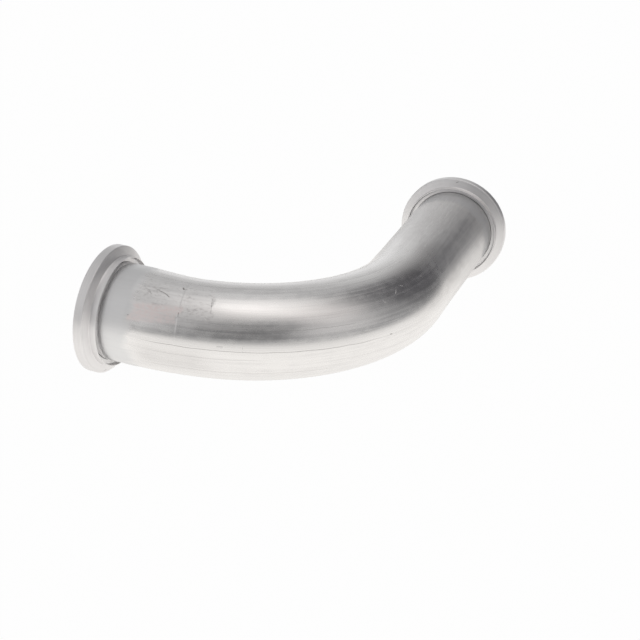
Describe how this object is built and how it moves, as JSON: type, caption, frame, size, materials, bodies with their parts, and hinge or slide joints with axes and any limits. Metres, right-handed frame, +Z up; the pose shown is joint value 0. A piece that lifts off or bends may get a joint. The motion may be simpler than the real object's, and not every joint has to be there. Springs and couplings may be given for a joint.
{
  "type": "intermediate exhaust pipe",
  "caption": "Steel exhaust tube with a right-angle bend between a short and a long leg, and a turned V-band flange welded inside each end, lying at rest.",
  "frame": {"origin": "middle of the footprint, on the level surface that the pipe lies on", "axes": "+Z up from that surface, +X about along the short leg into the pipe, +Y about along the long leg out of it; the plane of the bend leans about 7 degrees, as both rims and the belly of the bend touch the surface"},
  "size_m": [0.3458, 0.5112, 0.1383],
  "materials": {
    "tube_steel": "mill finish, drawn lines along the tube, light scuffs",
    "flange_steel": "fine turned satin",
    "weld_metal": "rippled bead, lightly tinted"
  },
  "bodies": {
    "root": {"bent_tube": "tube_steel", "inlet_flange": "flange_steel", "outlet_flange": "flange_steel", "inlet_weld": "weld_metal", "outlet_weld": "weld_metal"}
  },
  "joints": []
}
